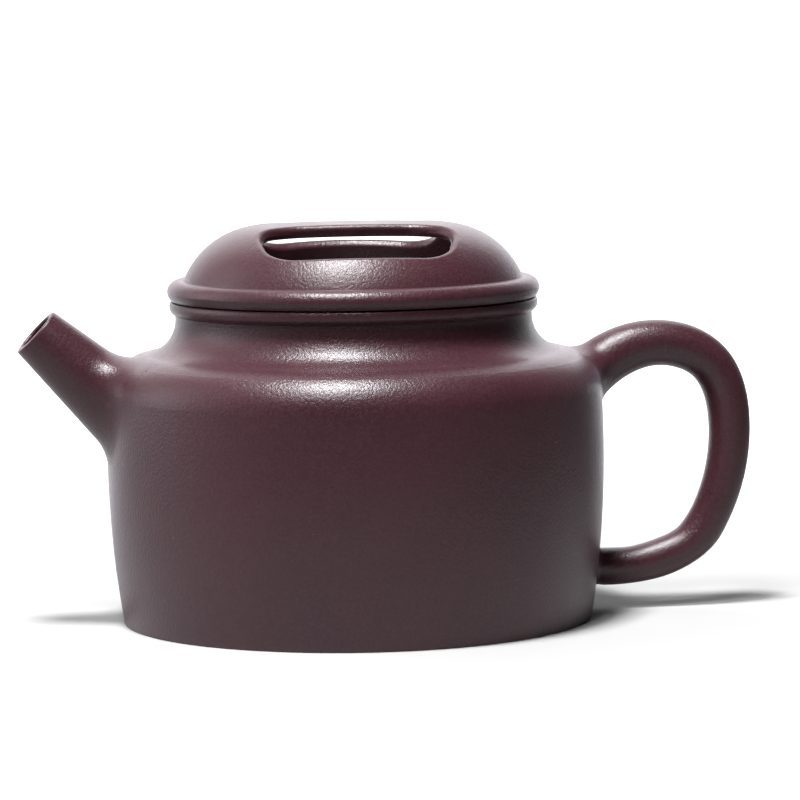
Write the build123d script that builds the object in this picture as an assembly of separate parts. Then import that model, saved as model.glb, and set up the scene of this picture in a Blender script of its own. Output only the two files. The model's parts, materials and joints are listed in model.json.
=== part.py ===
from build123d import *
import os
from math import acos, asin, cos, degrees, exp, radians, sin, tan

# Yixing clay teapot. Millimetres, +Z up.
# Origin: centre of the flat foot. Spout toward -X, handle toward +X.

os.makedirs("parts", exist_ok=True)

# Body of revolution
FOOT_R = 46.9          # sharp lower edge
BELLY_R = 49.65        # widest part of the wall
BELLY_Z = 34.0         # height of the widest part
WALL_TOP_Z = 45.67     # where the wall turns into the rounded shoulder
CORNER_R = 8.3         # shoulder rounding
SHOULDER_FALL = 12.0   # slope of the shoulder, degrees below horizontal
SHOULDER_SPLIT = 55.0  # where wall and shoulder slab are joined, degrees round the corner
NECK_R = 35.6          # outside of the neck
HOLLOW_R = 7.0         # hollow curve at the foot of the neck
NECK_H = 0.8           # straight part of the neck
CLAY_T = 3.0           # clay thickness
BASE_T = 4.0           # floor slab

# Mouth
RIM_H = 2.75           # bead ring round the mouth
RIM_BULGE = 1.15       # bead beyond the neck
RIM_TOP_LAP = 0.85     # top edge of the bead beyond the neck
RIM_CREST = 0.68       # height of its widest part, share of the bead
RIM_SOFT = 0.45        # softened top edges of the bead
MOUTH_LAP = 0.4        # ring stands this much inside the neck bore

# Lid
SEAT_GAP = 0.3         # seam between pot and lid
FLANGE_GAP = 0.3       # play between lid flange and mouth
LID_BULGE = 1.55       # lid bead beyond the neck
LID_RIM_H = 3.85       # height of the lid bead
LID_BEAD_R = 2.3       # rounding on top of the lid bead
LID_FOOT_LAP = 0.95    # lower edge of the lid bead beyond the neck
LID_FLANK_SWELL = 0.12 # swelling of the lid bead between foot and crest
PLATE_T = 3.0          # lid plate
PLATE_LAP = 0.4        # plate beyond the foot of the dome
DOME_IN = 1.8          # dome springs this much inside the neck radius
DOME_SIDE_R = 17.0     # rounding of the dome side
DOME_LEAN = 22.0       # dome side leans in by this angle where it springs
CROWN_SLOPE = 2.5      # slope where the side meets the almost flat crown
DOME_T = 2.45          # dome thickness
FLANGE_T = 2.7         # flange thickness
FLANGE_H = 7.5         # flange below the plate
VENT_D = 2.2           # steam hole in the plate
LID_TURN = -4.8        # the lid as it was set down, turned a little against the pot

# Two long openings in the dome and the bridge between them
BRIDGE_HALF = 8.0      # half width of the bridge
LIP_IN = 4.25          # middle of the lower lip inside the springing radius
LIP_BOW_R = 40.0       # bow of the lower lip, flatter than the lid's own round
SLOT_END_IN = 13.4     # end of an opening inside the springing radius, at crown height
BRIDGE_CORNER_R = 10.5 # rounding of an opening beside the bridge
LOWER_CORNER_R = 9.5   # rounding of its lower corners
MIDDLE_SHARE = 0.9     # a corner beside the bridge takes at most this share of the half length
END_SHARE = 0.8        # a lower corner takes at most this share of the end
LIP_SOFT = 0.9         # softened edges of the openings

# Spout
SPOUT_REACH = 13.9     # tip centre beyond the belly
SPOUT_RISE = 13.35     # tip centre above the top of the wall
SPOUT_FALL = 43.0      # axis, degrees below horizontal toward the pot
SPOUT_TIP_D = 10.7     # outside diameter at the tip
SPOUT_RUN = 2.5        # length of the cone, in reaches
SPOUT_TAPER = 6.4      # half angle of the cone
SPOUT_LIP_T = 1.5      # clay at the tip
SPOUT_LIP_SOFT = 0.4   # softened edges of the tip
SPOUT_BORE_TAPER = 5.8  # half angle of the bore
SPOUT_BLEND = 10.0     # blend into the pot
SPOUT_SEAT_R = 17.5    # round seat the spout is set into
SPOUT_SEAT_DOWN = 1.5  # its centre below the top of the wall
POUR_HOLE_D = 2.5
POUR_HOLE_PITCH = 3.6
POUR_HOLE_DROP = 0.6   # hole pattern below the bore axis
POUR_HOLES_ROUND = 6

# Handle
HANDLE_TOP_OUT = 11.8  # highest point of the handle axis beyond the belly
HANDLE_TOP_UP = 7.85   # highest point of the axis above the top of the wall
HANDLE_REACH = 26.85   # widest point of the axis beyond the belly
HANDLE_ROOT_UP = 3.7   # upper root above the top of the wall
HANDLE_ROOT_RISE = 40.0  # direction of the handle at the upper root, degrees
HANDLE_LOW_Z = 8.45    # lower root height
# Ear shape after the top: shares of the reach, and of the height above the lower root
HANDLE_EAR = [(0.84, 0.912), (1.0, 0.62), (0.858, 0.232), (0.6, 0.062), (0.3, 0.003)]
HANDLE_TOP_RAD = 4.75
HANDLE_LOW_RAD = 3.6
HANDLE_SWELL = 0.7     # extra radius at the upper root
SWELL_LENGTH = 8.0     # how quickly the swelling fades
HANDLE_BURY = 8.0      # handle core inside the pot surface before it is trimmed
HANDLE_STATIONS = 18
HANDLE_BLEND_TOP = 6.0
HANDLE_BLEND_LOW = 1.5
HANDLE_SEAT_TOP_R = 14.0
HANDLE_SEAT_LOW_R = 6.8

SEAT_DEPTH = 0.8       # scored seats under the spout and handle roots
BEYOND_BELLY = 0.5     # all clay this far outside the belly is spout or handle
CUT_PAST = 1.0         # a cutting tool runs on this far past a face
BLEND_STEPS = (1.0, 0.85, 0.7, 0.55, 0.4)  # shares of a blend tried in turn


def polar(centre, radius, angle):
    """Point on a circle in the (r, z) half plane."""
    a = radians(angle)
    return (centre[0] + radius * cos(a), centre[1] + radius * sin(a))


def lathe(edges):
    """Turn a closed (r, z) outline about the pot axis."""
    return revolve(make_face(Plane.XZ * Curve(edges)), Axis.Z, 360)


# ---- Lines of the body section, outside surface and surfaces inset from it ----
BELLY_BULGE = BELLY_R - FOOT_R
BOW_R = (BELLY_Z**2 + BELLY_BULGE**2) / (2 * BELLY_BULGE)
BOW_C = (BELLY_R - BOW_R, BELLY_Z)
FOOT_ANGLE = -degrees(asin(BELLY_Z / BOW_R))
TOP_ANGLE = degrees(asin((WALL_TOP_Z - BELLY_Z) / BOW_R))
WALL_END = polar(BOW_C, BOW_R, TOP_ANGLE)
CORNER_C = polar(WALL_END, -CORNER_R, TOP_ANGLE)
SLOPE_ANGLE = 90 - SHOULDER_FALL
SLOPE_START = polar(CORNER_C, CORNER_R, SLOPE_ANGLE)
HOLLOW_X = NECK_R + HOLLOW_R
SLOPE_END_R = HOLLOW_X - HOLLOW_R * cos(radians(SLOPE_ANGLE))
SLOPE_END_Z = SLOPE_START[1] + (SLOPE_START[0] - SLOPE_END_R) * tan(radians(SHOULDER_FALL))
SLOPE_END = (SLOPE_END_R, SLOPE_END_Z)
HOLLOW_C = (HOLLOW_X, SLOPE_END_Z + HOLLOW_R * sin(radians(SLOPE_ANGLE)))
NECK_TOP_Z = HOLLOW_C[1] + NECK_H
RIM_TOP_Z = NECK_TOP_Z + RIM_H
MOUTH_R = NECK_R - CLAY_T - MOUTH_LAP


def bow_at(z, inset=0.0):
    """Angle on the wall arc at a height."""
    return degrees(asin((z - BOW_C[1]) / (BOW_R - inset)))


def body_envelope(inset=0.0):
    """Solid pot form without mouth, handle or spout; inset moves the surface inward."""
    foot_angle = bow_at(0.0, inset)
    corner_r = CORNER_R - inset
    hollow_r = HOLLOW_R + inset
    slope_a = polar(CORNER_C, corner_r, SLOPE_ANGLE)
    slope_b = polar(HOLLOW_C, -hollow_r, SLOPE_ANGLE)
    neck_r = NECK_R - inset
    return lathe([
        Line((0, 0), polar(BOW_C, BOW_R - inset, foot_angle)),
        CenterArc(BOW_C, BOW_R - inset, foot_angle, TOP_ANGLE - foot_angle),
        CenterArc(CORNER_C, corner_r, TOP_ANGLE, SLOPE_ANGLE - TOP_ANGLE),
        Line(slope_a, slope_b),
        CenterArc(HOLLOW_C, hollow_r, 180 + SLOPE_ANGLE, -SLOPE_ANGLE),
        Line((neck_r, HOLLOW_C[1]), (neck_r, NECK_TOP_Z)),
        Line((neck_r, NECK_TOP_Z), (0, NECK_TOP_Z)),
        Line((0, NECK_TOP_Z), (0, 0)),
    ])


def make_base():
    """Floor slab, standing inside the wall."""
    edge_r = BOW_R - CLAY_T
    low = bow_at(0.0, CLAY_T)
    high = bow_at(BASE_T, CLAY_T)
    return lathe([
        Line((0, 0), polar(BOW_C, edge_r, low)),
        CenterArc(BOW_C, edge_r, low, high - low),
        Line(polar(BOW_C, edge_r, high), (0, BASE_T)),
        Line((0, BASE_T), (0, 0)),
    ])


def make_wall():
    """Wall slab with the lower part of the shoulder rounding."""
    inner_r = BOW_R - CLAY_T
    low_in = bow_at(0.0, CLAY_T)
    corner_in = CORNER_R - CLAY_T
    turn = SHOULDER_SPLIT - TOP_ANGLE
    return lathe([
        Line(polar(BOW_C, inner_r, low_in), (FOOT_R, 0)),
        CenterArc(BOW_C, BOW_R, FOOT_ANGLE, TOP_ANGLE - FOOT_ANGLE),
        CenterArc(CORNER_C, CORNER_R, TOP_ANGLE, turn),
        Line(polar(CORNER_C, CORNER_R, SHOULDER_SPLIT), polar(CORNER_C, corner_in, SHOULDER_SPLIT)),
        CenterArc(CORNER_C, corner_in, SHOULDER_SPLIT, -turn),
        CenterArc(BOW_C, inner_r, TOP_ANGLE, low_in - TOP_ANGLE),
    ])


def make_shoulder():
    """Sloping shoulder slab between wall and neck."""
    corner_in = CORNER_R - CLAY_T
    turn = SLOPE_ANGLE - SHOULDER_SPLIT
    inner_end = polar(SLOPE_END, -CLAY_T, SLOPE_ANGLE)
    return lathe([
        CenterArc(CORNER_C, CORNER_R, SHOULDER_SPLIT, turn),
        Line(SLOPE_START, SLOPE_END),
        Line(SLOPE_END, inner_end),
        Line(inner_end, polar(CORNER_C, corner_in, SLOPE_ANGLE)),
        CenterArc(CORNER_C, corner_in, SLOPE_ANGLE, -turn),
        Line(polar(CORNER_C, corner_in, SHOULDER_SPLIT), polar(CORNER_C, CORNER_R, SHOULDER_SPLIT)),
    ])


def make_neck():
    """Collar with the hollow curve at its foot."""
    hollow_in = HOLLOW_R + CLAY_T
    neck_in = NECK_R - CLAY_T
    foot_in = polar(SLOPE_END, -CLAY_T, SLOPE_ANGLE)
    return lathe([
        CenterArc(HOLLOW_C, HOLLOW_R, 180 + SLOPE_ANGLE, -SLOPE_ANGLE),
        Line((NECK_R, HOLLOW_C[1]), (NECK_R, NECK_TOP_Z)),
        Line((NECK_R, NECK_TOP_Z), (neck_in, NECK_TOP_Z)),
        Line((neck_in, NECK_TOP_Z), (neck_in, HOLLOW_C[1])),
        CenterArc(HOLLOW_C, hollow_in, 180, SLOPE_ANGLE),
        Line(foot_in, SLOPE_END),
    ])


def make_mouth_rim():
    """Bead ring that carries the lid."""
    crest = (NECK_R + RIM_BULGE, NECK_TOP_Z + RIM_CREST * RIM_H)
    top = (NECK_R + RIM_TOP_LAP, RIM_TOP_Z)
    ring = lathe([
        ThreePointArc((NECK_R, NECK_TOP_Z), crest, top),
        Line(top, (MOUTH_R, RIM_TOP_Z)),
        Line((MOUTH_R, RIM_TOP_Z), (MOUTH_R, NECK_TOP_Z)),
        Line((MOUTH_R, NECK_TOP_Z), (NECK_R, NECK_TOP_Z)),
    ])
    top_edges = ring.edges().filter_by(GeomType.CIRCLE).group_by(Axis.Z)[-1]
    return ring.fillet(RIM_SOFT, top_edges)


# ---- Spout ----
SPOUT_TIP = (-(BELLY_R + SPOUT_REACH), WALL_TOP_Z + SPOUT_RISE)
SPOUT_AXIS = Vector(cos(radians(SPOUT_FALL)), 0, -sin(radians(SPOUT_FALL)))
SPOUT_LENGTH = SPOUT_RUN * SPOUT_REACH


def spout_frame(along=0.0, drop=0.0):
    """Plane square to the spout axis; drop moves it down across the axis."""
    down = Vector(-sin(radians(SPOUT_FALL)), 0, -cos(radians(SPOUT_FALL)))
    origin = Vector(SPOUT_TIP[0], 0, SPOUT_TIP[1]) + SPOUT_AXIS * along + down * drop
    return Plane(origin=origin, z_dir=SPOUT_AXIS, x_dir=(0, 1, 0))


def spout_cone(tip_radius, taper, start=0.0):
    """Tapering round bar along the spout axis, growing toward the pot."""
    length = SPOUT_LENGTH - start
    first = tip_radius + start * tan(radians(taper))
    last = tip_radius + SPOUT_LENGTH * tan(radians(taper))
    return spout_frame(start) * Pos(0, 0, length / 2) * Cone(first, last, length)


def pour_holes():
    """Small round holes through the wall, aimed along the spout."""
    hole = Cylinder(POUR_HOLE_D / 2, 2 * SPOUT_LENGTH)
    frame = spout_frame(SPOUT_LENGTH, POUR_HOLE_DROP)
    spots = [Location((0, 0))] + list(PolarLocations(POUR_HOLE_PITCH, POUR_HOLES_ROUND))
    return [frame * spot * hole for spot in spots]


# ---- Handle ----
def handle_path():
    """Axis of the handle, from inside the shoulder round to inside the wall."""
    rise = radians(HANDLE_ROOT_RISE)
    root = (BELLY_R, WALL_TOP_Z + HANDLE_ROOT_UP)
    top = (BELLY_R + HANDLE_TOP_OUT, WALL_TOP_Z + HANDLE_TOP_UP)
    start = (root[0] - HANDLE_BURY * cos(rise), root[1] - HANDLE_BURY * sin(rise))
    end = (FOOT_R - HANDLE_BURY / 2, HANDLE_LOW_Z)
    ear = []
    for out, up in HANDLE_EAR:
        ear.append((BELLY_R + out * HANDLE_REACH, HANDLE_LOW_Z + up * (top[1] - HANDLE_LOW_Z)))
    return Plane.XZ * Spline(start, root, top, *ear, end, tangents=[(cos(rise), sin(rise)), (-1, 0)])


def handle_radius(distance, length):
    """Thick at the upper root, then a slow even taper."""
    even = HANDLE_TOP_RAD + (HANDLE_LOW_RAD - HANDLE_TOP_RAD) * distance / length
    return even + HANDLE_SWELL * exp(-max(distance - HANDLE_BURY, 0) / SWELL_LENGTH)


def handle_core():
    """Round tapering bar along the handle axis."""
    path = handle_path()
    length = path.length
    rings = []
    for i in range(HANDLE_STATIONS):
        share = i / (HANDLE_STATIONS - 1)
        plane = Plane(origin=path @ share, z_dir=path % share, x_dir=(0, 1, 0))
        rings.append(plane * Circle(handle_radius(share * length, length)))
    return loft(rings)


def root_edges(solid, side, z_low, z_high):
    """Edges where a spout or handle root meets the pot form, between two heights."""
    found = []
    for edge in solid.edges():
        c = edge.center()
        near = NECK_R < c.X * side < BELLY_R
        crossing = edge.geom_type not in (GeomType.CIRCLE, GeomType.LINE)
        if near and crossing and z_low < c.Z < z_high:
            found.append(edge)
    return found


def blend(solid, edges, radius):
    """Round edges; the radius gives way in steps where the clay beside them is too small."""
    for share in BLEND_STEPS[:-1]:
        try:
            return solid.fillet(radius * share, edges)
        except ValueError:
            continue
    return solid.fillet(radius * BLEND_STEPS[-1], edges)


def root_zone(side, seats):
    """Room a spout or handle takes up: round seats on the pot, and all beyond the belly."""
    depth = BELLY_R + HANDLE_REACH
    width = 2 * BELLY_R
    beyond = Pos(side * (BELLY_R + BEYOND_BELLY + depth / 2), 0, 0) * Box(depth, width, 4 * width)
    zone = beyond
    for radius, z in seats:
        zone = zone + Pos(side * depth / 2, 0, z) * Rotation(0, 90, 0) * Cylinder(radius, depth)
    return zone - Cylinder(SLOPE_END[0], 4 * width)


# ---- Lid ----
LID_Z = RIM_TOP_Z + SEAT_GAP
LID_R = NECK_R + LID_BULGE
PLATE_R = NECK_R - DOME_IN + PLATE_LAP
BEAD_TOP_Z = LID_Z + LID_RIM_H
SPRING_R = NECK_R - DOME_IN
SIDE_C = polar((SPRING_R, BEAD_TOP_Z), -DOME_SIDE_R, DOME_LEAN)
CROWN_ANGLE = 90 - CROWN_SLOPE
CROWN_EDGE = polar(SIDE_C, DOME_SIDE_R, CROWN_ANGLE)
CROWN_R = CROWN_EDGE[0] / sin(radians(CROWN_SLOPE))
CROWN_C = (0, CROWN_EDGE[1] - CROWN_R * cos(radians(CROWN_SLOPE)))
CROWN_Z = CROWN_C[1] + CROWN_R


def dome_form(inset=0.0):
    """Solid dome standing on the lid plate; inset moves its surface inward."""
    side_r = DOME_SIDE_R - inset
    base_z = LID_Z + PLATE_T
    base_angle = degrees(asin((base_z - SIDE_C[1]) / side_r))
    base = polar(SIDE_C, side_r, base_angle)
    return lathe([
        Line((0, base_z), base),
        CenterArc(SIDE_C, side_r, base_angle, CROWN_ANGLE - base_angle),
        CenterArc(CROWN_C, CROWN_R - inset, CROWN_ANGLE, CROWN_SLOPE),
        Line((0, CROWN_Z - inset), (0, base_z)),
    ])


LOWER_LIP_R = SPRING_R - LIP_IN
LIP_ANGLE = acos((LOWER_LIP_R - SIDE_C[0]) / DOME_SIDE_R)
LOWER_LIP_Z = SIDE_C[1] + DOME_SIDE_R * sin(LIP_ANGLE)
APEX_Z = SIDE_C[1] - SIDE_C[0] * tan(LIP_ANGLE)


def opening_outline(z):
    """Bean-shaped outline of an opening at a height; it shrinks toward the apex below."""
    crown_share = (z - APEX_Z) / (CROWN_Z - APEX_Z)
    lip_share = (z - APEX_Z) / (LOWER_LIP_Z - APEX_Z)
    outer = LOWER_LIP_R * lip_share
    bow_r = LIP_BOW_R * lip_share
    inner = BRIDGE_HALF * crown_share
    half = (SPRING_R - SLOT_END_IN) * crown_share
    strip = Pos(0, inner + outer / 2) * Rectangle(2 * half, outer)
    outline = Pos(0, outer - bow_r) * Circle(bow_r) & strip
    end_length = outline.edges().filter_by(Axis.Y)[0].length
    beside_bridge = outline.vertices().sort_by(Axis.Y)[:2]
    bridge_r = min(BRIDGE_CORNER_R * crown_share, end_length / 2, half * MIDDLE_SHARE)
    outline = fillet(beside_bridge, bridge_r)
    lower = outline.vertices().sort_by(Axis.Y)[-2:]
    return Pos(0, 0, z) * fillet(lower, min(LOWER_CORNER_R * crown_share, end_length * END_SHARE))


def opening_cutter(side):
    """Tool for one opening; its faces stand square to the dome at the lower lip."""
    low = opening_outline(LID_Z + PLATE_T / 2)
    high = opening_outline(CROWN_Z + DOME_T)
    return Rotation(0, 0, LID_TURN + 90 + side * 90) * loft([low, high], ruled=True)


def make_dome():
    """Vault with two openings and the bridge between them, edges softened."""
    shell = dome_form() - dome_form(DOME_T)
    for side in (-1, 1):
        shell = shell - opening_cutter(side)
    rims = [e for e in shell.edges() if e.center().Z > BEAD_TOP_Z and abs(e.center().Y) > DOME_T / 2]
    return blend(shell, rims, LIP_SOFT)


def make_lid_rim():
    """Bead round the edge of the lid, closing against plate and dome."""
    bead_c = (LID_R - LID_BEAD_R, BEAD_TOP_Z - LID_BEAD_R)
    foot = (NECK_R + LID_FOOT_LAP, LID_Z)
    flank = ((foot[0] + LID_R) / 2 + LID_FLANK_SWELL, (foot[1] + bead_c[1]) / 2)
    ring = lathe([
        Line((PLATE_R, LID_Z), foot),
        ThreePointArc(foot, flank, (LID_R, bead_c[1])),
        CenterArc(bead_c, LID_BEAD_R, 0, 90),
        Line((bead_c[0], BEAD_TOP_Z), (SPRING_R - DOME_T / 2, BEAD_TOP_Z)),
        Line((SPRING_R - DOME_T / 2, BEAD_TOP_Z), (SPRING_R - DOME_T / 2, LID_Z + PLATE_T)),
        Line((SPRING_R - DOME_T / 2, LID_Z + PLATE_T), (PLATE_R, LID_Z + PLATE_T)),
        Line((PLATE_R, LID_Z + PLATE_T), (PLATE_R, LID_Z)),
    ])
    return ring - dome_form()


def make_plate():
    """Disc that closes the mouth, with the steam hole."""
    disc = Pos(0, 0, LID_Z + PLATE_T / 2) * Cylinder(PLATE_R, PLATE_T)
    return disc - Pos(0, 0, LID_Z) * Cylinder(VENT_D / 2, 4 * PLATE_T)


def make_flange():
    """Ring under the plate that centres the lid in the mouth."""
    outer = MOUTH_R - FLANGE_GAP
    middle_z = LID_Z - FLANGE_H / 2
    ring = Cylinder(outer, FLANGE_H) - Cylinder(outer - FLANGE_T, 2 * FLANGE_H)
    return Pos(0, 0, middle_z) * ring


# ---- Put together ----
def make_spout(envelope, seat_floor, zone):
    """Hollow spout with its blended root, set into its seat."""
    clay = envelope + spout_cone(SPOUT_TIP_D / 2, SPOUT_TAPER)
    clay = blend(clay, root_edges(clay, -1, BASE_T, NECK_TOP_Z), SPOUT_BLEND)
    bore = spout_cone(SPOUT_TIP_D / 2 - SPOUT_LIP_T, SPOUT_BORE_TAPER, -CUT_PAST)
    spout = (clay & zone) - seat_floor - bore
    lip = spout.edges().filter_by(GeomType.CIRCLE).sort_by(Axis.X)[:2]
    return spout.fillet(SPOUT_LIP_SOFT, lip)


def make_handle(envelope, seat_floor, zone):
    """Handle with both blended roots, set into its seats."""
    clay = envelope + handle_core()
    middle_z = (WALL_TOP_Z + HANDLE_LOW_Z) / 2
    clay = blend(clay, root_edges(clay, 1, middle_z, NECK_TOP_Z), HANDLE_BLEND_TOP)
    clay = blend(clay, root_edges(clay, 1, 0, middle_z), HANDLE_BLEND_LOW)
    return (clay & zone) - seat_floor


envelope = body_envelope()
seat_floor = body_envelope(SEAT_DEPTH)
spout_zone = root_zone(-1, [(SPOUT_SEAT_R, WALL_TOP_Z - SPOUT_SEAT_DOWN)])
upper_seat = (HANDLE_SEAT_TOP_R, WALL_TOP_Z + HANDLE_ROOT_UP)
lower_seat = (HANDLE_SEAT_LOW_R, HANDLE_LOW_Z)
handle_zone = root_zone(1, [upper_seat, lower_seat])

wall = make_wall()
shoulder = make_shoulder()
for zone in (spout_zone, handle_zone):
    seat = zone - seat_floor
    wall = wall - seat
    shoulder = shoulder - seat
for hole in pour_holes():
    wall = wall - hole

parts = {
    "base_disc": make_base(),
    "body_wall": wall,
    "shoulder": shoulder,
    "neck": make_neck(),
    "mouth_rim": make_mouth_rim(),
    "spout": make_spout(envelope, seat_floor, spout_zone),
    "handle": make_handle(envelope, seat_floor, handle_zone),
    "lid_plate": make_plate(),
    "lid_rim": make_lid_rim(),
    "lid_dome": make_dome(),
    "lid_flange": make_flange(),
}

for name, solid in parts.items():
    export_step(solid, f"parts/{name}.step")
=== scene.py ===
"""Yixing clay teapot: looks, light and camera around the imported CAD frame. Metres."""
import json
import math

import bpy
from mathutils import Matrix, Vector


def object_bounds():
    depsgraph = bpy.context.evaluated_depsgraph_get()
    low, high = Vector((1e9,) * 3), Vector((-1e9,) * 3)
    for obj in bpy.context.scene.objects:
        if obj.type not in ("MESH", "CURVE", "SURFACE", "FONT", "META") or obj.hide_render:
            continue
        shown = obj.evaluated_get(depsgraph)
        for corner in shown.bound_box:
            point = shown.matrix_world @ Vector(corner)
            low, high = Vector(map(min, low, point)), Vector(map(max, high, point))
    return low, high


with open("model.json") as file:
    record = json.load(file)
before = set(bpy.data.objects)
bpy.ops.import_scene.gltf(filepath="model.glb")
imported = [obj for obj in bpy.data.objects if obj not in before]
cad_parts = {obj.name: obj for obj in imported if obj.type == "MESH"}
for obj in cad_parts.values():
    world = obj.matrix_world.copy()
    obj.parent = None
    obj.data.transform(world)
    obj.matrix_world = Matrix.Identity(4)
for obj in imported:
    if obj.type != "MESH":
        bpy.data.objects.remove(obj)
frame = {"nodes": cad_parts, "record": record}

MM = 0.001
CAD_LOW, CAD_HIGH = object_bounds()
NODES = frame["nodes"]
BODIES = frame["record"]["behaviour"]["bodies"]


# ---------------------------------------------------------------- node helpers
class Tree:
    """Adds and links shader nodes, in a new material or in a tree that is handed over."""

    def __init__(self, name, tree=None):
        self.tree = tree
        if tree is None:
            self.material = bpy.data.materials.new(name)
            self.material.use_nodes = True
            self.tree = self.material.node_tree
        self.tree.nodes.clear()

    def add(self, kind, **values):
        """Add a node; values go to its sockets, or to its settings where no socket has the name."""
        node = self.tree.nodes.new(kind)
        for key, value in values.items():
            if key in node.inputs:
                node.inputs[key].default_value = value
            else:
                setattr(node, key, value)
        return node

    def link(self, source, target):
        self.tree.links.new(source, target)


def feed(t, socket, value):
    """Set a socket to a number or a colour, or link it."""
    if isinstance(value, (int, float, tuple)):
        socket.default_value = value
    else:
        t.link(value, socket)


def ramp(t, source, stops, tint=(1.0, 1.0, 1.0)):
    """Colour ramp of greys, or of one tint in several strengths."""
    node = t.add("ShaderNodeValToRGB")
    elements = node.color_ramp.elements
    while len(elements) < len(stops):
        elements.new(0.5)
    for element, (place, value) in zip(elements, stops):
        element.position = place
        element.color = (value * tint[0], value * tint[1], value * tint[2], 1)
    t.link(source, node.inputs["Fac"])
    return node.outputs["Color"]


def maths(t, operation, *values):
    node = t.add("ShaderNodeMath", operation=operation)
    for socket, value in zip(node.inputs, values):
        feed(t, socket, value)
    return node.outputs[0]


def noise(t, coords, size_mm, detail, rough):
    node = t.add("ShaderNodeTexNoise", Scale=1.0 / (size_mm * MM), Detail=detail, Roughness=rough)
    t.link(coords, node.inputs["Vector"])
    return node.outputs["Fac"]


def dots(t, coords, spacing_mm, full, none):
    """Round dots, one in each cell; full and none are shares of the spacing."""
    cells = t.add("ShaderNodeTexVoronoi", Scale=1.0 / (spacing_mm * MM))
    t.link(coords, cells.inputs["Vector"])
    return ramp(t, cells.outputs["Distance"], [(full, 1.0), (none, 0.0)])


def mix_colour(t, factor, a, b):
    node = t.add("ShaderNodeMix", data_type="RGBA")
    sockets = [s for s in node.inputs if s.enabled]
    for socket, value in zip(sockets, (factor, a, b)):
        feed(t, socket, value)
    return [s for s in node.outputs if s.enabled][0]


def bump(t, height, strength, depth_mm, below=None, invert=False):
    """Bump layer, on top of the layer below it."""
    node = t.add("ShaderNodeBump", Strength=strength, Distance=depth_mm * MM, invert=invert)
    t.link(height, node.inputs["Height"])
    if below is not None:
        t.link(below, node.inputs["Normal"])
    return node.outputs["Normal"]


def scaled(t, source, low, high, at_low=0.0, at_high=1.0):
    """Carry a value from one range to another, held at the ends."""
    node = t.add("ShaderNodeMapRange")
    node.inputs["From Min"].default_value = low
    node.inputs["From Max"].default_value = high
    node.inputs["To Min"].default_value = at_low
    node.inputs["To Max"].default_value = at_high
    t.link(source, node.inputs["Value"])
    return node.outputs["Result"]


def by_bearing(t, coords, stops, tint=(1.0, 1.0, 1.0)):
    """Brightness by bearing about the pot's axis, 0 straight behind the pot as the camera sees it."""
    turned = t.add("ShaderNodeVectorRotate", rotation_type="Z_AXIS", Angle=YAW)
    t.link(coords, turned.inputs["Vector"])
    axes = t.add("ShaderNodeSeparateXYZ")
    t.link(turned.outputs["Vector"], axes.inputs[0])
    bearing = maths(t, "ARCTAN2", axes.outputs["X"], axes.outputs["Y"])
    share = maths(t, "MULTIPLY_ADD", bearing, 0.5 / math.pi, 0.5)
    places = [((degrees + 180) / 360, value) for degrees, value in stops]
    return ramp(t, share, places, tint), axes.outputs["Z"]


# ---------------------------------------------------------------- clay
CLAY = (0.046, 0.0130, 0.0198, 1)
CLAY_WARM = (0.056, 0.0150, 0.0212, 1)
CLAY_WORN = (0.085, 0.047, 0.052, 1)
SPECK = (0.20, 0.14, 0.11, 1)
# painted shade: near-black colour for the pits, standing for the shade inside them
PIT_SHADE = (0.010, 0.006, 0.007, 1)
SHEEN_TINT = (0.95, 0.88, 1.0, 1)
CLAY_IOR = 1.5

# Noise layers: size in mm, detail, roughness
CLOUD = (22.0, 3.0, 0.55)
SWELL = (7.0, 2.0, 0.5)
GRAIN = (0.55, 2.0, 0.6)
FINE = (0.22, 2.0, 0.6)
# Dots: spacing in mm, then the shares of it where a dot is full and where it ends
SPECKS = (5.2, 0.022, 0.034)
PITS = (9.0, 0.016, 0.026)
# Bump layers: strength, depth in mm
FINE_BUMP = (0.8, 0.035)
GRAIN_BUMP = (1.0, 0.085)
SWELL_BUMP = (0.5, 0.10)
PIT_BUMP = (1.0, 0.08)
# Where each colour layer starts and how strong it gets
WARM_PATCHES = [(0.35, 0.0), (0.65, 1.0)]
PALE_GRAIN = [(0.40, 0.0), (0.75, 0.30)]
WORN_EDGES = [(0.52, 0.0), (0.60, 0.35)]

SHEEN_WEIGHT = 0.05
SHEEN_ROUGH = 0.45
ROUGH_BASE = 0.26      # roughness where there is no grain
ROUGH_GRAIN = 0.16     # grain adds up to this
ROUGH_CLOUD = 0.08     # clouds vary it by this much
ROUGH_WORN = 0.10      # worn edges are smoother by this


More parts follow.
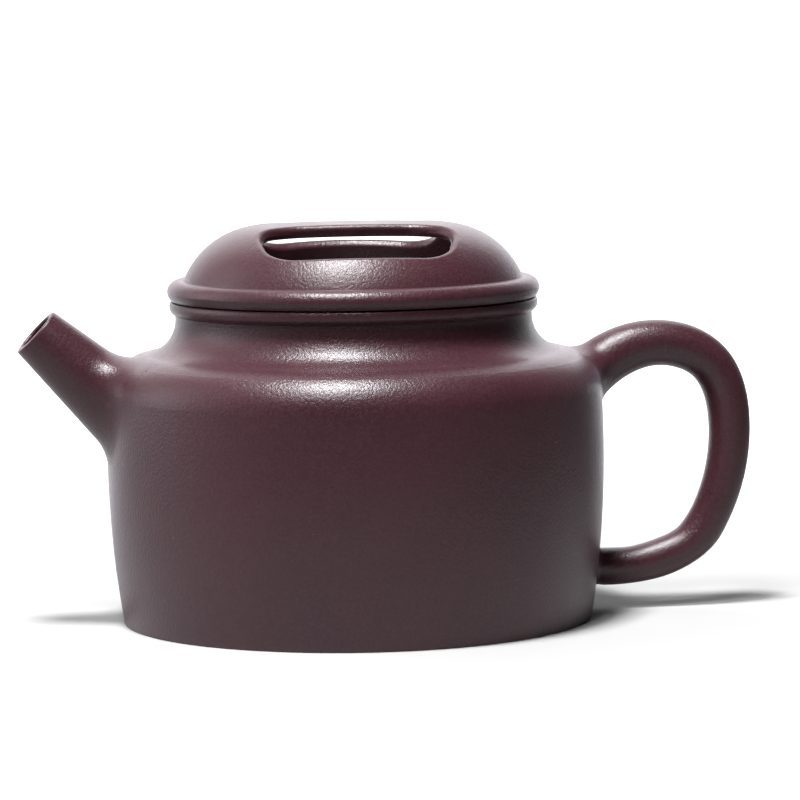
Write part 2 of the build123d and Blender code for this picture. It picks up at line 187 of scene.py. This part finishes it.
def clay(name, shift):
    """Burnished unglazed purple-brown clay with visible grain."""
    t = Tree(name)
    coords = t.add("ShaderNodeTexCoord")
    place = t.add("ShaderNodeMapping", Location=shift)
    t.link(coords.outputs["Object"], place.inputs["Vector"])
    p = place.outputs["Vector"]

    cloud = noise(t, p, *CLOUD)
    grain = noise(t, p, *GRAIN)
    fine = noise(t, p, *FINE)
    swell = noise(t, p, *SWELL)
    specks = dots(t, p, *SPECKS)
    shaded_pits = dots(t, p, *PITS)
    shape = t.add("ShaderNodeNewGeometry")
    worn = ramp(t, shape.outputs["Pointiness"], WORN_EDGES)

    colour = mix_colour(t, ramp(t, cloud, WARM_PATCHES), CLAY, CLAY_WARM)
    colour = mix_colour(t, ramp(t, grain, PALE_GRAIN), colour, CLAY_WORN)
    colour = mix_colour(t, specks, colour, SPECK)
    # painted shade: the pits are coloured near-black for the shade inside the dents
    colour = mix_colour(t, shaded_pits, colour, PIT_SHADE)
    colour = mix_colour(t, worn, colour, CLAY_WORN)

    shine = maths(t, "MULTIPLY_ADD", grain, ROUGH_GRAIN, ROUGH_BASE)
    patchy = maths(t, "MULTIPLY_ADD", cloud, ROUGH_CLOUD, -ROUGH_CLOUD / 2)
    roughness = maths(t, "ADD", shine, patchy)
    roughness = maths(t, "SUBTRACT", roughness, maths(t, "MULTIPLY", worn, ROUGH_WORN))

    normal = bump(t, fine, *FINE_BUMP)
    normal = bump(t, grain, *GRAIN_BUMP, normal)
    normal = bump(t, swell, *SWELL_BUMP, normal)
    normal = bump(t, shaded_pits, *PIT_BUMP, normal, invert=True)

    skin = t.add("ShaderNodeBsdfPrincipled")
    skin.inputs["IOR"].default_value = CLAY_IOR
    skin.inputs["Sheen Weight"].default_value = SHEEN_WEIGHT
    skin.inputs["Sheen Roughness"].default_value = SHEEN_ROUGH
    skin.inputs["Sheen Tint"].default_value = SHEEN_TINT
    t.link(colour, skin.inputs["Base Color"])
    t.link(roughness, skin.inputs["Roughness"])
    t.link(normal, skin.inputs["Normal"])
    out = t.add("ShaderNodeOutputMaterial")
    t.link(skin.outputs["BSDF"], out.inputs["Surface"])
    return t.material


def dress(obj, material):
    obj.data.materials.clear()
    obj.data.materials.append(material)


LID_SHIFT = (0.013, 0.007, 0.0)  # the lid shows another part of the same clay
POT_CLAY = clay("zini_pot", (0.0, 0.0, 0.0))
LID_CLAY = clay("zini_lid", LID_SHIFT)
for name, obj in NODES.items():
    dress(obj, POT_CLAY if name in BODIES["pot"] else LID_CLAY)


# ---------------------------------------------------------------- camera
FOCAL_PX = 4271.0
FRAME_PX = 800.0
SENSOR_MM = 36.0
FAR_CLIP = 20.0
STAND_OFF = 0.850      # distance in front of the pot
SIDE_STEP = 0.009      # step to the right
EYE_HEIGHT = 0.1285
AIM_HEIGHT = 0.0435
ROLL = 0.0145
YAW = math.radians(8.5)  # camera and studio stand this far round toward the spout


def set_camera():
    data = bpy.data.cameras.new("camera")
    data.sensor_width = SENSOR_MM
    data.lens = FOCAL_PX / FRAME_PX * SENSOR_MM
    data.clip_end = FAR_CLIP
    cam = bpy.data.objects.new("camera", data)
    bpy.context.scene.collection.objects.link(cam)
    pitch = math.atan2(EYE_HEIGHT - AIM_HEIGHT, STAND_OFF)
    turn = Matrix.Rotation(-YAW, 3, "Z") @ Matrix.Rotation(math.pi / 2 - pitch, 3, "X")
    turn = turn @ Matrix.Rotation(-ROLL, 3, "Z")
    place = Matrix.Rotation(-YAW, 3, "Z") @ Vector((SIDE_STEP, -STAND_OFF, EYE_HEIGHT))
    cam.matrix_world = Matrix.Translation(place) @ turn.to_4x4()
    bpy.context.scene.camera = cam


set_camera()


# ---------------------------------------------------------------- studio
FLOOR_SIDE = 4.0       # half width of the paper
FLOOR_NEAR = -3.0      # its front edge
SWEEP_START = 1.2      # where it starts to curve up
SWEEP_R = 0.8
SWEEP_STEPS = 16
SWEEP_TOP = 4.0
FLOOR_DROP = 0.00005   # keeps the floor clear of the foot

FLOOR_SEEN = 0.47      # brightness of the paper in the picture
FLOOR_WHITE = (1.03, 1.02, 1.0)
GLOW_FAR = 1.5         # the paper burns out to white away from the pot
GLOW_RANGE = (0.11, 0.40)
BOUNCE_NEAR = 0.38     # brightness of the paper as the clay reflects it
BOUNCE_FAR = 0.12
BOUNCE_RANGE = (0.08, 0.32)
BACKLIT_TINT = (0.96, 0.97, 1, 1)
BACKLIT_RANGE = (0.06, 0.20)

# Brightness by bearing, degrees from straight behind the pot, + to the right
SWEEP = [
    (-110, 0.0), (-70, 0.10), (-45, 0.60), (-28, 1.8),
    (10, 2.2), (20, 2.4), (33, 0.35), (60, 0.0),
]
STUDIO = [
    (-150, 0.0), (-115, 0.12), (-90, 0.38), (-70, 0.70),
    (-55, 0.95), (-15, 1.0), (5, 0.95), (20, 0.0),
]
STUDIO_TINT = (0.93, 0.94, 1.0)
# Brightness by height, as the sine of the elevation
STUDIO_HEIGHT = [(0.0, 1.15), (0.3, 1.1), (0.6, 0.65), (0.75, 0.15), (0.88, 0.0)]
STUDIO_POWER = 3.7

LIGHT_AIM = (0.0, 0.0, 0.055)
LIGHT_COLOUR = (0.97, 0.98, 1.0)
# Softboxes: name, place, size, power
SOFTBOXES = [
    ("overhead_softbox", (-0.09, -0.18, 0.90), (0.15, 0.15), 13.0),
    ("front_softbox", (-0.14, -0.45, 0.80), (0.26, 0.23), 4.4),
]


def floor_paper():
    """White paper: burnt out for the camera, darker in front of the pot for its reflections, and
    glowing behind the pot as painted backlight.
    """
    t = Tree("floor_white")
    coords = t.add("ShaderNodeTexCoord")
    away = t.add("ShaderNodeVectorMath", operation="LENGTH")
    t.link(coords.outputs["Object"], away.inputs[0])
    distance = away.outputs["Value"]

    seen = t.add("ShaderNodeBsdfDiffuse", Color=(*[FLOOR_SEEN * c for c in FLOOR_WHITE], 1))
    glow = t.add("ShaderNodeEmission", Color=(1, 1, 1, 1))
    t.link(scaled(t, distance, *GLOW_RANGE, 0.0, GLOW_FAR), glow.inputs["Strength"])
    lit = t.add("ShaderNodeAddShader")
    t.link(seen.outputs[0], lit.inputs[0])
    t.link(glow.outputs[0], lit.inputs[1])

    bounced = t.add("ShaderNodeBsdfDiffuse")
    t.link(scaled(t, distance, *BOUNCE_RANGE, BOUNCE_NEAR, BOUNCE_FAR), bounced.inputs["Color"])
    # painted light: for the clay's reflections the paper glows by bearing, brightest behind the pot
    # and none right next to it
    round_about, _ = by_bearing(t, coords.outputs["Object"], SWEEP)
    strength = maths(t, "MULTIPLY", round_about, scaled(t, distance, *BACKLIT_RANGE))
    backlit = t.add("ShaderNodeEmission", Color=BACKLIT_TINT)
    t.link(strength, backlit.inputs["Strength"])
    spread = t.add("ShaderNodeAddShader")
    t.link(bounced.outputs[0], spread.inputs[0])
    t.link(backlit.outputs[0], spread.inputs[1])

    path = t.add("ShaderNodeLightPath")
    mix = t.add("ShaderNodeMixShader")
    t.link(path.outputs["Is Camera Ray"], mix.inputs[0])
    t.link(spread.outputs[0], mix.inputs[1])
    t.link(lit.outputs[0], mix.inputs[2])
    out = t.add("ShaderNodeOutputMaterial")
    t.link(mix.outputs[0], out.inputs["Surface"])
    return t.material


def set_floor():
    """Floor that sweeps up into a backdrop."""
    profile = [(FLOOR_NEAR, 0.0), (SWEEP_START, 0.0)]
    for i in range(1, SWEEP_STEPS + 1):
        a = math.pi / 2 * i / SWEEP_STEPS
        profile.append((SWEEP_START + SWEEP_R * math.sin(a), SWEEP_R * (1 - math.cos(a))))
    profile.append((SWEEP_START + SWEEP_R, SWEEP_TOP))
    turn = Matrix.Rotation(-YAW, 3, "Z")
    verts, faces = [], []
    for y, z in profile:
        for x in (-FLOOR_SIDE, FLOOR_SIDE):
            verts.append(tuple(turn @ Vector((x, y, z))))
    for i in range(len(profile) - 1):
        faces.append((2 * i, 2 * i + 1, 2 * i + 3, 2 * i + 2))
    mesh = bpy.data.meshes.new("floor")
    mesh.from_pydata(verts, [], faces)
    for face in mesh.polygons:
        face.use_smooth = True
    floor = bpy.data.objects.new("floor", mesh)
    bpy.context.scene.collection.objects.link(floor)
    floor.location.z = CAD_LOW[2] - FLOOR_DROP
    mesh.materials.append(floor_paper())


def set_world():
    """White studio behind and to the left of the pot, dark in front and to the right."""
    world = bpy.data.worlds.new("studio")
    bpy.context.scene.world = world
    world.use_nodes = True
    t = Tree("studio", world.node_tree)
    coords = t.add("ShaderNodeTexCoord")
    round_about, up = by_bearing(t, coords.outputs["Generated"], STUDIO, STUDIO_TINT)
    lit = t.add("ShaderNodeBackground")
    t.link(round_about, lit.inputs["Color"])
    t.link(maths(t, "MULTIPLY", ramp(t, up, STUDIO_HEIGHT), STUDIO_POWER), lit.inputs["Strength"])
    seen = t.add("ShaderNodeBackground")
    seen.inputs["Strength"].default_value = 1.0
    path = t.add("ShaderNodeLightPath")
    mix = t.add("ShaderNodeMixShader")
    t.link(path.outputs["Is Camera Ray"], mix.inputs["Fac"])
    t.link(lit.outputs["Background"], mix.inputs[1])
    t.link(seen.outputs["Background"], mix.inputs[2])
    out = t.add("ShaderNodeOutputWorld")
    t.link(mix.outputs["Shader"], out.inputs["Surface"])


def area_light(name, place, size, power):
    data = bpy.data.lights.new(name, "AREA")
    data.shape = "RECTANGLE"
    data.size, data.size_y = size
    data.energy = power
    data.color = LIGHT_COLOUR
    obj = bpy.data.objects.new(name, data)
    bpy.context.scene.collection.objects.link(obj)
    turn = Matrix.Rotation(-YAW, 3, "Z")
    place, aim = turn @ Vector(place), turn @ Vector(LIGHT_AIM)
    obj.location = place
    obj.rotation_euler = (aim - place).to_track_quat("-Z", "Y").to_euler()


set_floor()
set_world()
for softbox in SOFTBOXES:
    area_light(*softbox)
bpy.context.scene.view_settings.view_transform = "Standard"
